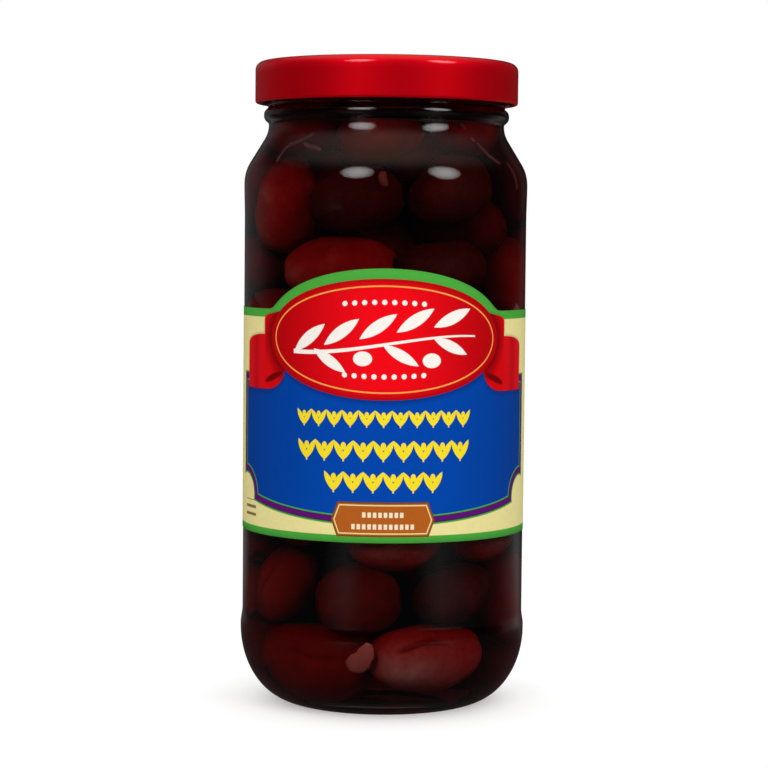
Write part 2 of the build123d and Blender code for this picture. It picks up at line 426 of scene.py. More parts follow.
# %% The body of liquid
BRINE_Z, INTO_GLASS = 149.0, 0.2
CREEP_HIGH, CREEP_WIDE = 1.2, 1.6
below = inside[inside[:, 1] < BRINE_Z - 0.5]
skin = below + INTO_GLASS * outward(below)
skin[0, 0] = 0
level_r = np.linspace(INSIDE_NECK_R + INTO_GLASS, 0, 40)
creep = CREEP_HIGH * np.exp(-(level_r[0] - level_r) / CREEP_WIDE)
level = np.stack([level_r, BRINE_Z + creep], -1)
half_brine = joined(skin, level)
brine = turned("brine_body", half_brine, brine_side.material)
brine.data.materials.append(brine_top.material)
is_level = of_faces(brine, "center")[:, 2] > BRINE_Z * MM - 1e-6
is_level &= of_faces(brine, "normal")[:, 2] > 0.3
brine.data.polygons.foreach_set("material_index", is_level.astype(np.int32))
print("brine up to", round(float(half_brine[:, 1].max()), 1), "mm;", int(is_level.sum()),
      "faces on its open surface")

# %% [markdown]
# The glass now gets its second finish where the brine touches it. A face is wetted if it
# looks towards the axis, or up from the floor, and lies below the brine's edge.

# %% Where the brine wets the glass
jar.data.materials.append(glass_wet.material)
middles, normals = of_faces(jar, "center") / MM, of_faces(jar, "normal")
from_axis = np.linalg.norm(middles[:, :2], axis=1)
inwards = (normals[:, :2] * middles[:, :2]).sum(1) < 0
floor_side = (from_axis < 22) & (middles[:, 2] < 8) & (normals[:, 2] > 0.2)
is_wet = (inwards | floor_side) & (middles[:, 2] < BRINE_Z + CREEP_HIGH)
is_wet &= middles[:, 2] > PUSH_UP_HIGH + 0.3
jar.data.polygons.foreach_set("material_index", is_wet.astype(np.int32))
print(int(is_wet.sum()), "of", len(is_wet), "faces of the glass are wetted")

# %% [markdown]
# ## The lid
# A twist-off lid is one disc of tinplate pressed to shape: a button in the middle that
# clicks when the seal is broken, a sunk panel, a raised ring over the jar's rim, and a
# skirt whose lower edge is rolled inwards to a curl. Four places on the curl are pinched
# further in, to catch under the threads. Outside it is lacquered red, with more gloss on
# the top than on the skirt, and the top's red is painted lighter, as painted light for the
# lamps that the top faces. Inside it has gold lacquer and a pale soft sealing ring.

# %% Lacquer, sheet steel and sealing ring
lacquer = Paint("red_lid", Metallic=0.65, IOR=1.5, Specular_IOR_Level=0.05,
                Coat_Roughness=0.05)
x, y, z = lacquer.split(lacquer.place())
from_middle = (x * x + y * y).root()
mottle = lacquer.noise(90.0, 3.0)
handling = lacquer.noise(420.0, 2.0, 0.6)
top_coat_and_painted_light = ((z - 0.1575) * 500).clipped()
red = lacquer.mix(mottle, (0.60, 0.0, 0.004), (0.66, 0.0, 0.008))
# Painted light: the red on the top is made lighter than on the skirt, for the light that the
# top catches.
red = lacquer.mix(top_coat_and_painted_light, red, (0.90, 0.0, 0.012))
underneath = ((0.0316 - from_middle) * 4000).clipped() * ((0.15965 - z) * 9000).clipped()
within_ring = ((0.0264 - from_middle) * 4000).clipped()
ring_pale, inside_gold = (0.75, 0.73, 0.66), (0.62, 0.52, 0.28)
lacquer.set(
    Base_Color=lacquer.mix(underneath, red, lacquer.mix(within_ring, ring_pale, inside_gold)),
    Roughness=0.44 + 0.08 * handling,
    Coat_Weight=0.12 + 0.88 * top_coat_and_painted_light,
    Normal=lacquer.bump(lacquer.noise(700.0, 2.0), 0.35, 0.03 * MM),
)

print("the lacquer uses", len(lacquer.tree.nodes), "nodes")

# %% [markdown]
# The sheet itself is another half section, from the middle of the underside out to the
# curl, round it, and back over the top. The curl is what makes the skirt's lower edge look
# rounded and thick, though the sheet is thin.

# %% The pressed lid
CURL_Z, CURL_R = 150.975, 0.625
LUG_IN, LUG_HALF = 0.85, radians(7)
under = joined(
    (0, 159.85), (12.1, 159.85), (14.6, 159.6), (25.2, 159.6), (26.6, 159.7), (31.0, 159.7),
    (31.0, 160.4), arc((31.0, 158.7), (1.7, 1.7), 90, 0), (32.7, CURL_Z + 0.75),
    (32.03, CURL_Z + 0.45), (31.75, CURL_Z),
)
over = joined(
    arc((32.375, CURL_Z), (CURL_R, CURL_R), 180, 360), arc((31.0, 158.7), (2.0, 2.0), 0, 90),
    (27.2, 160.7), (25.6, 159.9), (14.5, 159.9), (12.0, 160.15), (0, 160.15),
)
half_lid = softened(joined(under, over), 0.12, 0.11)


def lugs(angle, r, z):
    """Four places where the inside of the curl is pinched further in, as a parabola of the
    angle from the middle of each."""
    turn = (angle - radians(13)) % (pi / 2)
    beside = np.minimum(turn, pi / 2 - turn)
    pinch = np.clip(1 - (beside / LUG_HALF) ** 2, 0, 1)
    return np.where((z < CURL_Z + 0.5) & (r < 32.3), -LUG_IN * pinch, 0)


lid = turned("lid_pressed", half_lid, lacquer.material, segments=136, push=lugs)

# %% [markdown]
# ## The label
# The paper is one sheet, cut straight along the bottom, round the sides and at the back,
# with an arch in the middle of the front that follows the oval of the print. Its two ends
# don't quite meet at the back. The sheet is a function of two parameters, the distance round
# the jar and the share of the height, and Solidify gives it the thickness of paper.
#
# Its print is worked out in millimetres: s round the jar from the middle of the front, and
# z up from the table. Each colour field is a distance that is negative inside, so a field, a
# line along its edge and a soft shadow all come from the same number.

# %% The sheet
LABEL_R = 35.57
LABEL_LOW_Z, LABEL_SIDE_Z = 44.0, 99.5
ARCH_Z, ARCH_W, ARCH_H, ARCH_SOFT = 92.75, 33.6, 16.95, 0.7
BACK_GAP, FRONT_HALF = 10.0, 36
PAPER_THICK = 0.1


def label_top(s):
    """Height of the paper's edge: the straight side edge or the arch's ellipse, whichever
    is higher, blended softly where they meet."""
    def above(z):
        return ARCH_SOFT * np.log(1 + np.exp((z - LABEL_SIDE_Z) / ARCH_SOFT))

    rise = ARCH_H * np.sqrt(1 - np.clip(np.abs(s) / ARCH_W, 0, 1) ** 2)
    return LABEL_SIDE_Z + above(ARCH_Z + rise) - above(ARCH_Z)


half_round = (2 * pi * LABEL_R - BACK_GAP) / 2
front = FRONT_HALF * np.sin(np.linspace(-pi / 2, pi / 2, 121))
side = np.linspace(FRONT_HALF, half_round, 60)[1:]
s_line = np.concatenate([-side[::-1], front, side])
share = np.linspace(0, 1, 40)[:, None]
s_grid = np.repeat(s_line[None], len(share), axis=0)
z_grid = LABEL_LOW_Z + share * (label_top(s_line)[None] - LABEL_LOW_Z)
bearing = s_grid / LABEL_R
sheet_points = np.stack(
    [LABEL_R * np.sin(bearing), -LABEL_R * np.cos(bearing), z_grid], -1
).reshape(-1, 3)
sheet_faces = grid_faces(len(share), len(s_line))
label = make_piece("label_paper_sheet", sheet_points, sheet_faces.tolist(), None)
print("the label is", round(2 * half_round, 1), "mm long and",
      round(float(z_grid.max() - LABEL_LOW_Z), 1), "mm high at its arch")

# %% The sheet laid flat, as the print's own map
MAP_MM = 100
print_map = label.data.uv_layers.new(name="print_100mm")
corner_of = np.empty(len(label.data.loops), np.int32)
label.data.loops.foreach_get("vertex_index", corner_of)
flat = np.stack([s_grid, z_grid], -1).reshape(-1, 2) / MAP_MM
print_map.uv.foreach_set("vector", flat[corner_of].ravel())
paper = label.modifiers.new("paper", "SOLIDIFY")
paper.thickness, paper.offset = PAPER_THICK * MM, -1.0

print("the print's map covers", [round(float(v), 3) for v in np.ptp(flat, axis=0)])

# %% Shapes for the print
printed = Paint("label_paper", IOR=1.45, Specular_IOR_Level=0.03)
flat_place = printed.node("ShaderNodeUVMap", {"uv_map": "print_100mm"})
s, z, _ = printed.split(flat_place)
s, z = s * MAP_MM, z * MAP_MM
wide = abs(s)


def oval(x, z, half_w, half_h):
    """Distance from an ellipse's edge, negative inside: (|p / radii| - 1) over its slope."""
    near = ((x / half_w) ** 2 + (z / half_h) ** 2).root()
    slope = ((x / half_w**2) ** 2 + (z / half_h**2) ** 2).root()
    return near * (near - 1) / (slope + 1e-4)


def box(x, z, half_w, half_h, corner=0.0):
    """Distance from a rectangle's edge, with rounded corners."""
    over_x, over_z = abs(x) - (half_w - corner), abs(z) - (half_h - corner)
    outer = (over_x.most(0) ** 2 + over_z.most(0) ** 2).root()
    return outer + over_x.most(over_z).least(0) - corner


def inside_of(distance, soft=0.12):
    """1 inside an edge and 0 outside it, changing over soft millimetres."""
    return (0.5 - distance / soft).clipped()


def line_at(distance, offset, half_width):
    """1 on a line that runs offset outside an edge."""
    return inside_of(abs(distance - offset) - half_width)


def leaf(x, z, lean, half_length, half_width):
    """Distance from a pointed leaf that leans by so many degrees: what two discs share."""
    c, si = cos(radians(lean)), sin(radians(lean))
    along, across = x * c + z * si, abs(z * c - x * si)
    disc_r = (half_length**2 + half_width**2) / (2 * half_width)
    return (along**2 + (across + (disc_r - half_width)) ** 2).root() - disc_r


# %% [markdown]
# The fields lie over each other as they do on a real label: cream paper, a green edging, a
# blue panel with a purple band round it, a folded red ribbon, and over that a red oval with
# a fine gilt line. Where such a label carries words, this one has an olive sprig and rows
# of leaves and olives.

# %% Colour fields
CREAM, GREEN = srgb(232, 222, 152), srgb(72, 164, 60)
BLUE, PURPLE, DARK_PURPLE = srgb(0, 68, 166), srgb(92, 18, 112), srgb(52, 14, 70)
RED, GILT = srgb(236, 6, 20), srgb(247, 164, 80)
BROWN, YELLOW, WHITE = srgb(176, 92, 30), srgb(244, 220, 34), srgb(246, 240, 232)
FINE_PRINT = srgb(96, 66, 40)

rise = (1 - (wide / 30.8).least(1) ** 2).root() * 14.1 + ARCH_Z
inner_top = rise.math("SMOOTH_MAX", 97.45, 1.0)
edging = inside_of(z - inner_top) * inside_of(45.75 - z)
ink = printed.mix(edging, GREEN, CREAM)

lower = 50.4 + 3.3 * (wide / 36) ** 2
notch = 7.4 - ((wide - 44.5) ** 2 + (z - 53.4) ** 2).root()
panel_top = 81.5 + 6.0 * inside_of(wide - 41.0)
panel = (wide - 44.5).most(lower - z).most(notch).most(z - panel_top)
for out, colour in ((2.35, GREEN), (1.95, DARK_PURPLE), (1.75, PURPLE), (0.45, DARK_PURPLE),
                    (0.35, GREEN)):
    ink = printed.mix(inside_of(panel - out), ink, colour)
vignette = ((wide - 14.0) / 34.0).clipped()
ink = printed.mix(inside_of(panel), ink, printed.mix(vignette, BLUE, srgb(0, 56, 140)))
print("cream, green edging and the blue panel:", len(printed.tree.nodes), "nodes so far")

# %% [markdown]
# The ribbon comes out from behind the oval, folds back on itself and hangs down a little at
# each end, with a rolled edge. The folds show only by their shades of red, so each has a
# shade that follows its distance from an edge, and all of it drops a soft shadow on the
# panel.

# %% Ribbon and oval
badge = oval(s, z - ARCH_Z, 31.4, 14.5)
tail_top = 90.8 + 2.5 * (1 - ((wide - 34.4) / 9.1) ** 2).root()
tail = (wide - 43.5).most(z - tail_top).most(79.95 - z).most(33.9 - wide)
curled = 80.0 + 4.7 * (1 - (1 - ((33.2 - wide) / 6.6).clipped() ** 2).root())
fold_top = 97.2 + (1 - ((wide - 32.4) / 2.0).clipped() ** 2).root() + 0.18 * (32.8 - wide)
fold = (wide - 34.35).most(z - fold_top).most(curled - z).most(22.0 - wide)
ribbon = tail.least(fold)
shade = (1 - (ribbon.least(badge) / 1.6)).clipped() * 0.55
ink = printed.mix(shade * inside_of(panel), ink, srgb(8, 24, 84))
ink = printed.mix((1 - ribbon / 0.7).clipped() * 0.35, ink, srgb(96, 30, 24))
roll = (1 - abs(wide - 38.6) / 2.6).clipped()
tail_red = printed.mix(roll * 0.6, srgb(214, 6, 20), srgb(164, 2, 10))
ink = printed.mix(inside_of(tail), ink, tail_red)
fold_red = printed.mix((badge / 3.6).clipped(), srgb(124, 0, 4), srgb(212, 2, 10))
ink = printed.mix(inside_of(fold), ink, fold_red)
inner_x, inner_z = wide - 30.6, z - 83.0 + 0.36 * (wide - 30.6)
hollow = oval(inner_x, inner_z, 3.3, 0.85)
ink = printed.mix(inside_of(hollow, 0.5) * inside_of(fold), ink, srgb(112, 2, 8))
rim = ((badge + 3.5) / 3.5).clipped()
ends = ((wide - 5.0) / 22.0).clipped()
badge_red = printed.mix(ends * 0.85, RED, srgb(168, 2, 8))
ink = printed.mix(inside_of(badge), ink, printed.mix(rim**2, badge_red, srgb(170, 2, 10)))
ink = printed.mix(line_at(badge, -1.75, 0.17), ink, GILT)
print("with the ribbon and the oval:", len(printed.tree.nodes), "nodes")

# %% [markdown]
# The oval carries a plain sprig: a stem that bends like an S, pointed leaves each side, two
# olives, and an arc of beads above and below. It is drawn here from a few shapes, like the
# rest, and stands for nobody's mark.

# %% Olive sprig on the oval
sz = z - ARCH_Z
stem_z = sz + 1.2 - 3.6 * (s / 23.0) + 1.6 * (s / 23.0) ** 3
stem = (abs(stem_z) - (0.36 - 0.007 * s)).most(wide - 23.5)
sprig = inside_of(stem)
for lean, at, up in ((38, -19.0, 0.2), (36, -10.5, 1.7), (34, -1.5, 3.1), (32, 7.5, 4.6),
                     (24, 17.0, 5.2)):
    sprig = sprig.most(inside_of(leaf(s - at, sz - up, lean, 5.4, 1.45)))
for lean, at, up in ((-34, -13.5, -5.2), (-30, 4.0, -3.8), (-24, 16.5, -1.6)):
    sprig = sprig.most(inside_of(leaf(s - at, sz - up, lean, 5.0, 1.3)))
for at, up in ((-5.2, -4.6), (11.6, -5.0)):
    sprig = sprig.most(inside_of(oval(s - at, sz - up, 2.3, 1.75)))
BEAD_STEP, BEAD_R = 2.4, 0.62
beads = (s / BEAD_STEP + 0.5).math("FRACT") * BEAD_STEP - BEAD_STEP / 2
bow = 8.9 - 0.0042 * s**2
dots = inside_of(oval(beads, sz - bow, BEAD_R, BEAD_R)) * inside_of(wide - 10.6)
dots = dots.most(inside_of(oval(beads, sz + bow, BEAD_R, BEAD_R)) * inside_of(wide - 10.6))
ink = printed.mix(sprig.most(dots), ink, WHITE)
print("with the sprig:", len(printed.tree.nodes), "nodes")

# %% [markdown]
# On the blue panel are three rows of small sprigs. A row is one sprig repeated: the fraction
# of s over the width of a cell starts again in each cell, and its absolute value makes the
# right half the left half's mirror.

# %% Rows of leaves and olives on the blue
def garland(middle_z, half_height, cells, cell):
    """A row of small sprigs: two leaves that part upwards, with an olive between them. The
    row has so many cells, each cell millimetres wide."""
    count = s / cell + cells / 2
    local = abs((count.math("FRACT") - 0.5) * cell)
    height = z - middle_z
    leaves = leaf(local - 0.40 * half_height, height, 60, half_height * 1.12,
                  half_height * 0.30)
    olives = oval(local, height - half_height * 0.42, half_height * 0.25, half_height * 0.36)
    stalk = (local - 0.07 * half_height).most(abs(height + half_height * 0.75)
                                              - half_height * 0.25)
    return inside_of(leaves.least(olives).least(stalk)) * inside_of(wide - cells * cell / 2)


rows = garland(73.8, 2.1, 11, 4.04).most(garland(66.1, 2.6, 9, 4.86))
rows = rows.most(garland(58.6, 2.6, 6, 4.86))
ink = printed.mix(rows, ink, YELLOW)
print("with the rows of sprigs:", len(printed.tree.nodes), "nodes")

# %% [markdown]
# The brown plaque and the fine print at the sides and back carry no letters either. The
# plaque has two lines of small marks, and the fine print is thin bars, which is how it looks
# from where it can't be read.

# %% Plaque, and the fine print at the sides
plaque = (wide + abs(z - 49.5) * 0.38 - 12.4).most(abs(z - 49.65) - 3.85)
ink = printed.mix(inside_of(plaque - 0.35), ink, srgb(120, 62, 20))
ink = printed.mix(inside_of(plaque), ink, BROWN)
ink = printed.mix(line_at(plaque, -0.45, 0.14), ink, CREAM)
MARK_STEP, LINE_STEP = 1.3, 1.9
marks = (s / MARK_STEP).math("FRACT") * MARK_STEP - MARK_STEP / 2
upper_marks = inside_of(box(marks, z - 50.75, 0.42, 0.62, 0.1)) * inside_of(wide - 5.2)
lower_marks = inside_of(box(marks, z - 47.9, 0.42, 0.62, 0.1)) * inside_of(wide - 7.8)
ink = printed.mix(upper_marks.most(lower_marks), ink, srgb(244, 226, 190))

texture = printed.noise(1.0, 1.0, at=printed.node(
    "ShaderNodeCombineXYZ", {}, (s / 5.5).math("FLOOR"), (z / LINE_STEP).math("FLOOR"), 0.0))
strip = inside_of(abs((z / LINE_STEP).math("FRACT") - 0.5) - 0.19, 0.06)
bars = strip * texture.math("GREATER_THAN", 0.44)
small = inside_of(box(s + 41.6, z - 50.1, 3.3, 2.0))
fields = inside_of(box(wide - 76.0, z - 71.5, 21.0, 21.5))
ink = printed.mix(bars * small.most(fields) * 0.85, ink, FINE_PRINT)
frame_line = line_at(box(wide - 76.0, z - 71.5, 22.4, 22.8), 0.0, 0.16)
ink = printed.mix(frame_line, ink, FINE_PRINT)

fibre = printed.noise(900.0, 3.0, 0.6)
ink = printed.node("ShaderNodeVectorMath", {"operation": "SCALE"}, ink,
                   Scale=0.81 + 0.12 * fibre)
printed.set(
    Base_Color=ink,
    Roughness=0.36 + 0.1 * fibre,
    Normal=printed.bump(fibre * 0.4 + printed.noise(60.0, 2.0), 0.3, 0.05 * MM),
)
label.data.materials.append(printed.material)
print("the label's print uses", len(printed.tree.nodes), "nodes")

# %% [markdown]
# ## Olives: where they lie
# Real olives in a jar have been shaken down until they touch each other and the glass. The
# same is done here with numbers. Each olive is three balls in a row. The few that show at
# the front are laid one by one from a table and held nearly firm, and the rest start at
# random places. Then every overlap pushes both olives apart, many small steps over, while
# the glass pushes them back in.

# %% Where each olive starts
rng = np.random.default_rng(12)
COUNT = 76
# bearing in degrees from the front's middle (right is positive), height, lean from level
# in degrees, length over the usual, colour from 0 dark to 1 pale red
LAID = [
    (-61, 130, 82, 0.88, 0.53), (-25, 109.5, 4, 1.12, 0.52), (31, 110.5, 8, 0.98, 0.00),
    (-15, 127, 10, 0.92, 0.00), (38, 127, 14, 0.90, 0.00), (82, 112, 86, 1.00, 0.50),
    (84, 132, 80, 0.86, 0.05), (-50, 142, 5, 0.82, 0.30), (-58, 29.5, 70, 0.88, 0.36),
    (-12, 28.5, 15, 0.82, 0.12), (2, 40.5, 4, 0.92, 0.96), (-44, 47, 12, 0.90, 0.62),
    (58, 43.5, 10, 0.95, 0.84), (84, 27, 80, 1.00, 0.30), (24, 15.4, 3, 1.18, 0.89),
    (-42, 15.4, 2, 1.15, 0.38), (50, 142, 5, 0.82, 0.22), (0, 142.5, 4, 0.82, 0.14),
    (38, 30.5, 20, 0.88, 0.00),
]
laid = np.array(LAID, float)
length = rng.uniform(0.88, 1.1, COUNT)
girth = rng.uniform(0.90, 1.08, COUNT)
tone = rng.beta(2.0, 2.6, COUNT)
length[: len(laid)], tone[: len(laid)] = laid[:, 3], laid[:, 4]
HALF_LONG, HALF_WIDE = 12.0, 8.2
END_BALL_R, END_BALL_AT = 7.3, 4.9
ball_r = np.stack([END_BALL_R * girth, HALF_WIDE * girth, END_BALL_R * girth], -1)
ball_at = np.stack([-END_BALL_AT * length, 0 * length, END_BALL_AT * length], -1)

spot = np.empty((COUNT, 3))
spot[:, 2] = rng.uniform(14, 140, COUNT)
around, out = rng.uniform(0, 2 * pi, COUNT), 24.5 * np.sqrt(rng.uniform(0, 1, COUNT))
spot[:, 0], spot[:, 1] = out * np.cos(around), out * np.sin(around)
axis = rng.normal(size=(COUNT, 3))

glass_line = softened(inside, 1.0, 0.5)
glass_line[0] = inside[0]
glass_line = glass_line[glass_line[:, 1] < BRINE_Z]
glass_out = outward(glass_line)


def wall_radius(z):
    """Radius of the jar's inside at a height."""
    rising = inside[np.argmin(inside[:, 1]):]
    return np.interp(z, rising[:, 1], rising[:, 0])


bearing = np.radians(laid[:, 0])
lean = np.radians(laid[:, 2])
at_wall = wall_radius(laid[:, 1]) - HALF_WIDE * girth[: len(laid)] - 0.4
facing_out = np.stack([np.sin(bearing), -np.cos(bearing), 0 * bearing], -1)
sideways = np.stack([np.cos(bearing), np.sin(bearing), 0 * bearing], -1)
straight_up, AWAY_FROM_GLASS = np.array([0, 0, 1.0]), 0.22
spot[: len(laid)] = facing_out * at_wall[:, None] + laid[:, 1:2] * straight_up
axis[: len(laid)] = (
    sideways * np.cos(lean)[:, None] + np.sin(lean)[:, None] * straight_up
    - AWAY_FROM_GLASS * facing_out
)
axis /= np.linalg.norm(axis, axis=1, keepdims=True)
print(len(laid), "olives laid by hand and", COUNT - len(laid), "strewn")

# %% Settling
STEPS, DRIFT_STEPS = 420, 330
SHARE_OF_PUSH, FROM_GLASS = 0.45, 0.3
firm = np.ones(COUNT)
firm[: len(laid)] = 0.01
own_olive = np.repeat(np.arange(COUNT), 3)
for step in range(STEPS):
    centre = spot[:, None] + axis[:, None] * ball_at[..., None]
    flat_c, flat_r = centre.reshape(-1, 3), ball_r.reshape(-1)
    gap = flat_c[:, None] - flat_c[None]
    far = np.linalg.norm(gap, axis=-1) + 1e-9
    lap = np.clip(flat_r[:, None] + flat_r[None] - far, 0, None)
    lap[own_olive[:, None] == own_olive[None]] = 0
    share_of = firm[own_olive][:, None] / (firm[own_olive][:, None] + firm[own_olive][None])
    push = (gap / far[..., None] * (lap * share_of)[..., None]).sum(1)
    r = np.linalg.norm(flat_c[:, :2], axis=1)
    to_line = np.stack([r, flat_c[:, 2]], -1)[:, None] - glass_line[None]
    nearest = np.argmin((to_line**2).sum(-1), axis=1)
    beyond = (to_line[np.arange(len(r)), nearest] * glass_out[nearest]).sum(1) + flat_r
    back = np.clip(beyond + FROM_GLASS, 0, None)[:, None] * glass_out[nearest]
    push[:, :2] -= back[:, :1] * flat_c[:, :2] / (r[:, None] + 1e-9)
    push[:, 2] -= back[:, 1]
    push[:, 2] -= np.clip(flat_c[:, 2] + flat_r - (BRINE_Z + 0.5), 0, None)
    push = push.reshape(COUNT, 3, 3) * SHARE_OF_PUSH
    spot += push.sum(1) / 2
    if step < DRIFT_STEPS:
        outer = np.linalg.norm(spot[:, :2], axis=1)
        drift = np.where(outer > 12, 0.12, 0) * firm
        spot[:, :2] += spot[:, :2] / (outer[:, None] + 1e-9) * drift[:, None]
    twist = (push * ball_at[..., None]).sum(1) / (ball_at**2).sum(1)[:, None]
    axis += np.where(firm[:, None] < 1, 0.15, 1.0) * twist
    axis /= np.linalg.norm(axis, axis=1, keepdims=True)
print("deepest overlap left", round(float(lap.max()), 2), "mm; highest olive centre",
      round(float(spot[:, 2].max()), 1), "mm")

# %% [markdown]
# ## Olives: their form
# A pitted olive is a long soft egg with a round hole at one end, where the stone was pushed
# out, and a small star-shaped dent at the other. Soaking makes it lumpy, flattens it where
# it leans on its neighbours, and now and then its skin splits lengthwise. One formula makes
# all of them: the half section of a whole olive is scaled, flattened, bent and dented
# by amounts that differ from one olive to the next.

# %% One section for all
ROWS_OUT, COLUMNS = 21, 34
swing = np.linspace(0, pi - 0.31, ROWS_OUT)
skin_x = -HALF_LONG * np.cos(swing)
skin_r = HALF_WIDE * np.sin(swing) ** 0.9
tip = skin_x[-1]
section_x = np.concatenate([skin_x, [tip + 0.1, tip - 0.3, tip - 1.4, tip - 4.0, tip - 6.0,
                                     tip - 6.6]])
section_r = np.concatenate([skin_r, [2.35, 2.0, 1.85, 1.9, 1.3, 0.0]])
in_pit = np.concatenate([np.zeros(ROWS_OUT), [0.5, 1, 1, 1, 1, 1]])
spin = 2 * pi * np.arange(COLUMNS) / COLUMNS
spin = spin - 0.72 * np.sin(spin)  # closer together near the split, which needs more points
print("the olive's section has", len(section_x), "points, and goes round in", COLUMNS)

# %% What differs from one olive to the next
oval_share = rng.uniform(0.0, 0.07, COUNT)
oval_turn = rng.uniform(0, pi, COUNT)
bend = rng.uniform(-0.9, 0.9, COUNT)
lump = rng.uniform(0.008, 0.028, (COUNT, 4))
lump_turn = rng.uniform(0, 2 * pi, (COUNT, 4))
split = np.where(rng.uniform(0, 1, COUNT) < 0.22, rng.uniform(0.5, 1.3, COUNT), 0)
RIGHT_FOOT, LEFT_FOOT, LOW_LEFT = 14, 15, 8  # rows of LAID
split[: len(laid)] = 0
split[[RIGHT_FOOT, LEFT_FOOT, LOW_LEFT]] = 1.3, 0.5, 0.5
split_at = np.zeros(COUNT)
split_at[[RIGHT_FOOT, LEFT_FOOT]] = -3.5, 2.0
print(int((split > 0).sum()), "of", COUNT, "olives have a split skin")

# %% Every olive's points at once
x = section_x[None, :, None] * length[:, None, None]
a = spin[None, None, :]
r = section_r[None, :, None] * girth[:, None, None] * np.ones_like(a)
reach = x / (HALF_LONG * length[:, None, None])
free = 1 - in_pit[None, :, None]
shape = 1 + oval_share[:, None, None] * np.cos(2 * (a - oval_turn[:, None, None]))
for k, (waves, along) in enumerate(((1, 2.2), (3, 1.4), (2, 3.6), (4, 2.9))):
    shape = shape + lump[:, k, None, None] * np.cos(
        waves * a + lump_turn[:, k, None, None] + along * reach * (1 + 0.3 * k))
r = r * (1 + (shape - 1) * free)
across = np.where(a > pi, a - 2 * pi, a) * r
window = np.exp(-((x - split_at[:, None, None]) / (5.6 * length[:, None, None])) ** 6)
groove = np.exp(-((across - 0.5 * np.sin(0.5 * x)) / 0.62) ** 2) * window * free
r = r - split[:, None, None] * groove
star = np.clip(np.cos(4 * a), 0, 1) * np.exp(-(r / 1.7) ** 2) * (reach < -0.8)
x = x + 0.9 * np.exp(-(r / 1.2) ** 2) * (reach < -0.8) + 0.5 * star
away = bend[:, None, None] * (1 - reach**2)

facing = spot * np.array([1, 1, 0])
facing /= np.linalg.norm(facing, axis=1, keepdims=True) + 1e-9
facing -= (facing * axis).sum(1, keepdims=True) * axis
facing /= np.linalg.norm(facing, axis=1, keepdims=True)
beside = np.cross(axis, facing)
roll = np.where(split > 0, rng.uniform(-0.5, 0.5, COUNT), rng.uniform(0, 2 * pi, COUNT))
roll[: len(laid)] = 0
roll[[RIGHT_FOOT, LEFT_FOOT]] = -0.55, -0.2
turned_y = facing * np.cos(roll)[:, None] + beside * np.sin(roll)[:, None]
turned_z = np.cross(axis, turned_y)
points = (
    spot[:, None, None] + axis[:, None, None] * x[..., None]
    + turned_y[:, None, None] * (r * np.cos(a) + away)[..., None]
    + turned_z[:, None, None] * (r * np.sin(a))[..., None]
)
print("olive grid:", points.shape)

# %% [markdown]
# All the olives become one mesh, with two numbers at each point: the olive's tone, and how
# far the point is cut flesh rather than skin. The skin's colour goes from nearly black
# through deep red to a dull pink by the tone, unevenly, as brine bleaches it in patches.

# %% One mesh, with each olive's colour and its cut flesh as attributes
rows = len(section_x) - 2
body = points[:, 1:-1].reshape(COUNT, rows * COLUMNS, 3)
poles = np.stack([points[:, 0].mean(1), points[:, -1].mean(1)], 1)
all_points = np.concatenate([body, poles], 1)
each = rows * COLUMNS + 2
k = np.arange(COLUMNS)
after = (k + 1) % COLUMNS
quads = grid_faces(rows, COLUMNS, around=True)
start_fan = np.stack([np.full(COLUMNS, each - 2), after, k], -1)
end_fan = np.stack([(rows - 1) * COLUMNS + k, (rows - 1) * COLUMNS + after,
                    np.full(COLUMNS, each - 1)], -1)
offset = (np.arange(COUNT) * each)[:, None, None]
faces = (quads[None] + offset).reshape(-1, 4).tolist()
faces += (np.concatenate([start_fan, end_fan])[None] + offset).reshape(-1, 3).tolist()

flesh_body = np.clip(in_pit[None, 1:-1, None] + np.clip(groove[:, 1:-1] * 1.3 - 0.2, 0, 1)
                     * (split[:, None, None] > 0), 0, 1)
flesh = np.concatenate([flesh_body.reshape(COUNT, -1), np.zeros((COUNT, 1)),
                        np.ones((COUNT, 1))], 1)
tones = np.repeat(tone[:, None], each, axis=1)
print(each, "points an olive")

# %% Olive skin
SKIN_DARK, SKIN_RED = (0.028, 0.003, 0.003), (0.200, 0.008, 0.006)
SKIN_PINK = (0.25, 0.110, 0.098)
SPECK, CUT_FLESH = (0.05, 0.012, 0.012), (0.11, 0.004, 0.004)
olive_skin = Paint("olive_flesh", Roughness=0.38, IOR=1.5, Specular_IOR_Level=0.01)
tone_of = olive_skin.node("ShaderNodeAttribute", {"attribute_name": "tone"}, out="Fac")
flesh_of = olive_skin.node("ShaderNodeAttribute", {"attribute_name": "flesh"}, out="Fac")
patches = olive_skin.noise(150.0, 3.0, 0.55)
specks = olive_skin.noise(900.0, 2.0, 0.6)
depth = (tone_of + (patches - 0.5) * (0.25 + 0.6 * tone_of)).clipped()
skin_colour = olive_skin.mix((depth * 2).clipped(), SKIN_DARK, SKIN_RED)
skin_colour = olive_skin.mix((depth * 2 - 1).clipped(), skin_colour, SKIN_PINK)
skin_colour = olive_skin.mix((specks - 0.45).clipped() * 0.8, skin_colour, SPECK)
skin_colour = olive_skin.mix(flesh_of * 0.85, skin_colour, CUT_FLESH)
olive_skin.set(
    Base_Color=skin_colour,
    Roughness=0.34 + 0.14 * patches,
    Normal=olive_skin.bump(olive_skin.noise(520.0, 3.0, 0.6), 0.35, 0.25 * MM),
)
olives = make_piece("olives_pitted", all_points.reshape(-1, 3), faces, olive_skin.material)
for name, values in (("tone", tones), ("flesh", flesh)):
    layer = olives.data.attributes.new(name, "FLOAT", "POINT")
    layer.data.foreach_set("value", values.reshape(-1).astype(np.float32))
triangles = sum(len(p.vertices) - 2 for p in olives.data.polygons)
print(COUNT, "olives,", triangles, "triangles")

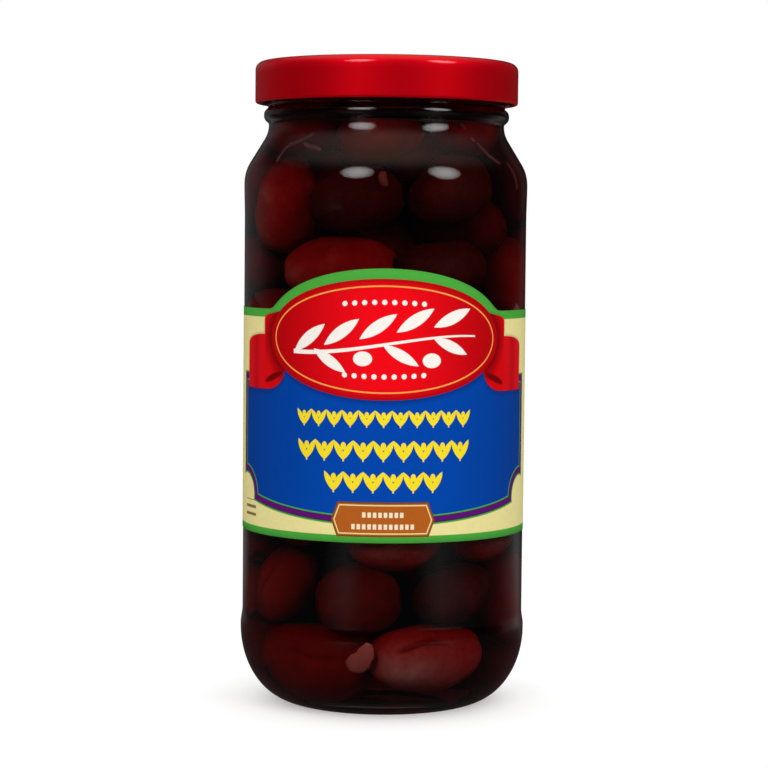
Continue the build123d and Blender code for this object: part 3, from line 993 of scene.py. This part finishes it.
# %% [markdown]
# ## Loose flesh
# Pitting and shaking tear a little flesh and skin loose. One pale scrap has sunk to the foot
# of the jar, and thin duller threads hang behind the glass below the neck. Each is a small
# curled sheet laid along the inside of the wall, and Solidify gives it its thickness.

# %% Curled scraps
# bearing in degrees, height, half its length and half its width, lean in degrees, and how
# far it floats from the glass
SCRAPS = [
    (-8.6, 15.9, 3.9, 2.3, 58, 0.35), (-47, 139.4, 3.8, 0.34, 38, 1.5),
    (-38, 137.8, 2.8, 0.30, -24, 1.5), (-55, 136.6, 2.6, 0.32, 66, 1.5),
    (46, 142.2, 3.2, 0.30, -58, 1.8), (55, 136.4, 3.4, 0.30, -46, 1.5),
    (70, 131.8, 2.8, 0.32, -64, 1.5), (-1, 130.8, 1.5, 0.8, -80, 2.0),
]
SCRAP_ROWS, SCRAP_COLUMNS, INSIDE_LIMIT = 22, 16, 32.4
u, v = np.meshgrid(np.linspace(-1, 1, SCRAP_ROWS), np.linspace(-1, 1, SCRAP_COLUMNS),
                   indexing="ij")
scrap_points = []
for at, height, half_long, half_wide, scrap_lean, afloat in SCRAPS:
    taper = np.sqrt(np.clip(1 - u**2, 0, 1)) * (1 - 0.25 * u) + 0.02
    taper = taper * (1 + 0.10 * np.sin(5.0 * u + at) + 0.06 * np.sin(11.0 * u + height))
    along = half_long * u
    aside = half_wide * v * taper + 0.12 * half_long * np.sin(2.2 * u + at)
    c, si = cos(radians(scrap_lean)), sin(radians(scrap_lean))
    scrap_z = height + along * si + aside * c
    scrap_r = np.minimum(wall_radius(scrap_z) - afloat, INSIDE_LIMIT) - 0.4 * v**2
    scrap_bearing = radians(at) + (along * c - aside * si) / scrap_r
    scrap_points.append(np.stack([scrap_r * np.sin(scrap_bearing),
                                  -scrap_r * np.cos(scrap_bearing), scrap_z], -1))
scrap_points = np.stack(scrap_points).reshape(-1, 3)
first_point = SCRAP_ROWS * SCRAP_COLUMNS * np.arange(len(SCRAPS))[:, None, None]
scrap_faces = grid_faces(SCRAP_ROWS, SCRAP_COLUMNS)[None] + first_point
scrap_skin = Paint("olive_flesh_pale", Roughness=0.45, IOR=1.5, Specular_IOR_Level=0.01)
scrap_tone = scrap_skin.mix(scrap_skin.noise(420.0, 3.0), (0.30, 0.075, 0.06),
                            (0.20, 0.04, 0.035))
scrap_height = scrap_skin.split(scrap_skin.place())[2]
high_up, THREAD_DULL = (scrap_height * 100 - 8).clipped(), (0.115, 0.060, 0.050)
scrap_skin.set(
    Base_Color=scrap_skin.mix(high_up, scrap_tone, THREAD_DULL),
    Normal=scrap_skin.bump(scrap_skin.noise(600.0, 2.0), 0.3, 0.2 * MM),
)
scrap = make_piece("olive_scrap", scrap_points, scrap_faces.reshape(-1, 4).tolist(),
                   scrap_skin.material)
thick = scrap.modifiers.new("flesh", "SOLIDIFY")
thick.thickness, thick.offset = 0.3 * MM, -1.0

# %% [markdown]
# ## What stands for what
# The CAD solids stay in the frame for size and contact, hidden from the render. Each
# modelled piece stands for one of them and is hung on the frame's root body.

# %% Pieces and their CAD nodes
for piece, node, slot in (
    (jar, "glass_jar", "clear_glass"), (lid, "lid", "red_lid"),
    (label, "label", "label_paper"), (olives, "olives", "olive_flesh"),
    (scrap, "olives", "olive_flesh"), (brine, "brine", "brine"),
):
    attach(piece, "root")
    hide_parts(node)
    print(piece.name, "stands for", node)

# %% [markdown]
# ## The studio
# A pale table, a white surround, and two softboxes in front to the left and right. What
# the glass mirrors and what shines through it matters more here than the light that falls
# on it, so the surround is white only where it is looked at directly, and otherwise dark,
# with grey cards at the back and a warm dim ceiling for the glass to reflect.
#
# The table does the same. Looked at directly it is lit and keeps the jar's shadow near the
# jar, and further out it goes over into plain white. To the light that spreads from the
# jar it is a pale table. In the glass's mirror it is dark, with two dim painted pools of
# light glowing on it, which make the soft upright veils at the sides of the jar as painted
# reflections.

# %% Table
table = Paint("table_white", Roughness=0.6)
grain = table.noise(40.0, 2.0)
table.set(Base_Color=table.mix(grain, (0.80, 0.80, 0.80), (0.83, 0.83, 0.83)))
tx, ty, _ = table.split(table.place())
away = (tx * tx + ty * ty).root()
WHITE_LIGHT, SHADOW_FROM, SHADOW_OVER = (1, 1, 1, 1), 0.024, 0.026
glow = table.node("ShaderNodeEmission", {}, WHITE_LIGHT, 0.27)
lit = table.node("ShaderNodeAddShader", {}, table.own(), glow)
plain_white = table.node("ShaderNodeEmission", {}, WHITE_LIGHT, 1.02)
seen = table.blend(((away - SHADOW_FROM) / SHADOW_OVER).clipped(), lit, plain_white)
aside = tx / away
# Painted light: two dim pools of light glow on the table only for mirrored rays, and the jar
# shows them as painted reflections down its sides.
painted_pool_left = (1 - abs(aside + 0.48) * 4).clipped() * 0.75
painted_pool_right = (1 - abs(aside - 0.70) * 3.6).clipped()
painted_pools = (painted_pool_left + painted_pool_right) * (away / 0.2 - 0.4).clipped()
painted_mirror_image = table.node("ShaderNodeEmission", {}, WHITE_LIGHT, 0.03 + 0.18 * painted_pools)
path_camera = table.node("ShaderNodeLightPath", {}, out="Is Camera Ray")
path_diffuse = table.node("ShaderNodeLightPath", {}, out="Is Diffuse Ray")
other = table.blend(path_diffuse, painted_mirror_image, table.own())
table.surface(table.blend(path_camera, other, seen))
FAR = 3000
corners = [(-FAR, -FAR, 0), (FAR, -FAR, 0), (FAR, FAR, 0), (-FAR, FAR, 0)]
ground = make_piece("table_top", corners, [(0, 1, 2, 3)], table.material, smooth=False)

# %% [markdown]
# The surround has one level for each kind of ray. A ray that spreads from a matt surface
# finds the room's light, strongest from the front and from above. A mirrored ray finds the
# cards and the ceiling. A ray that has passed through the glass finds a dark room. Only the
# ray that comes straight to the eye finds white.

# %% Surround
world = bpy.data.worlds.new("studio")
bpy.context.scene.world = world
world.use_nodes = True


class Surround(Paint):
    """The node tree of the world or of a lamp, written in the same way as a material's."""

    def __init__(self, shown, shader="Background"):
        self.tree = shown.node_tree
        self.shader = self.tree.nodes[shader]


room = Surround(world)
dx, dy, dz = room.split(room.place("Generated"))
from_front, from_back, from_above = (-dy).clipped(), dy.clipped(), dz.clipped()
ambient = 0.08 + 0.72 * from_front**2 + 0.16 * from_back + 1.15 * from_above
behind, not_high = (dy * 4).clipped(), ((0.5 - dz) * 4).clipped()
card_left = ((0.42 - abs(dx + 0.58)) * 6).clipped() * behind * not_high
card_right = (1 - abs(dx - 0.5) * 6).clipped() * behind * not_high
overhead = ((dz - 0.34) / 0.60).clipped()
ceiling = overhead**3
mirrored_room = 0.012 + 0.09 * card_left + 0.025 * card_right + 0.80 * ceiling
room_through_glass = 0.06 + 0.30 * overhead
straight = room.node("ShaderNodeLightPath", {}, out="Is Camera Ray")
spread = room.node("ShaderNodeLightPath", {}, out="Is Diffuse Ray")
passing = room.node("ShaderNodeLightPath", {}, out="Is Transmission Ray")
in_glass = passing * room_through_glass + (1 - passing) * mirrored_room
level = straight + (1 - straight) * (spread * ambient + (1 - spread) * in_glass)
warm = 1 - (1 - straight) * (1 - spread) * ceiling * 0.50
light_colour = room.node("ShaderNodeCombineColor", {}, level, level * warm,
                         level * (warm * 1.3 - 0.3))
room.set(Color=light_colour, Strength=1.0)
print("the surround uses", len(room.tree.nodes), "nodes")

# %% [markdown]
# The two softboxes stand a metre away, a little above the jar. They are brighter in the
# middle than at the edge, as cloth with a lamp behind it is, so the patches of light that
# they make on the shoulder fade softly at their edges.

# %% Lamps
AIM_Z = 0.09


def softbox(name, bearing, elevation, distance, wide, tall, radiance):
    """An area lamp that faces the jar's middle from a bearing (0 in front, right positive)
    and an elevation. Its power is radiance * pi * area."""
    b, e = radians(bearing), radians(elevation)
    lamp = bpy.data.lights.new(name, "AREA")
    lamp.shape, lamp.size, lamp.size_y = "RECTANGLE", wide, tall
    lamp.energy = radiance * pi * wide * tall
    lamp.use_nodes = True
    cloth = Surround(lamp, "Emission")
    u, v, _ = cloth.split(cloth.node("ShaderNodeNewGeometry", {}, out="Parametric"))
    from_centre = ((u - 0.5) ** 2 + (v - 0.5) ** 2) * 4
    cloth.set(Strength=(1 - from_centre).clipped() ** 0.8)
    stand = bpy.data.objects.new(name, lamp)
    bpy.context.scene.collection.objects.link(stand)
    place = np.array([sin(b) * cos(e), -cos(b) * cos(e), sin(e)]) * distance
    place[2] += AIM_Z
    stand.location = place
    from_jar = Vector(place) - Vector((0, 0, AIM_Z))
    stand.rotation_euler = from_jar.to_track_quat("Z", "Y").to_euler()
    print(f"{name}: {lamp.energy:.2f} W")


softbox("softbox_left", -24, 26, 1.0, 0.47, 0.60, 6.0)
softbox("softbox_right", 50, 26, 1.0, 0.47, 0.60, 6.0)

# %% [markdown]
# ## Camera
# A long lens from 0.6 m, a little higher than the jar's middle and tilted slightly down.
# The camera is also rolled by half a degree, as one held by hand is, so the jar leans a
# little.

# %% Camera
eye = bpy.data.cameras.new("camera")
eye.lens, eye.sensor_width = 111.24, 36.0
eye.clip_start, eye.clip_end = 0.05, 50.0
camera = bpy.data.objects.new("camera", eye)
bpy.context.scene.collection.objects.link(camera)
EYE_AWAY, EYE_Z = 0.600, 0.11637
tilt, roll_by = radians(3.4635), radians(0.5475)
ahead = np.array([0, cos(tilt), -sin(tilt)])
level_up, level_right = np.array([0, sin(tilt), cos(tilt)]), np.array([1.0, 0, 0])
right = cos(roll_by) * level_right + sin(roll_by) * level_up
up = -sin(roll_by) * level_right + cos(roll_by) * level_up
pose = np.eye(4)
pose[:3, 0], pose[:3, 1], pose[:3, 2] = right, up, -ahead
pose[:3, 3] = 0.0, -EYE_AWAY, EYE_Z
camera.matrix_world = Matrix(pose.tolist())
scene = bpy.context.scene
scene.camera = camera
scene.view_settings.view_transform = "Standard"
print("camera", EYE_AWAY, "m away with a lens of", round(eye.lens, 2), "mm")
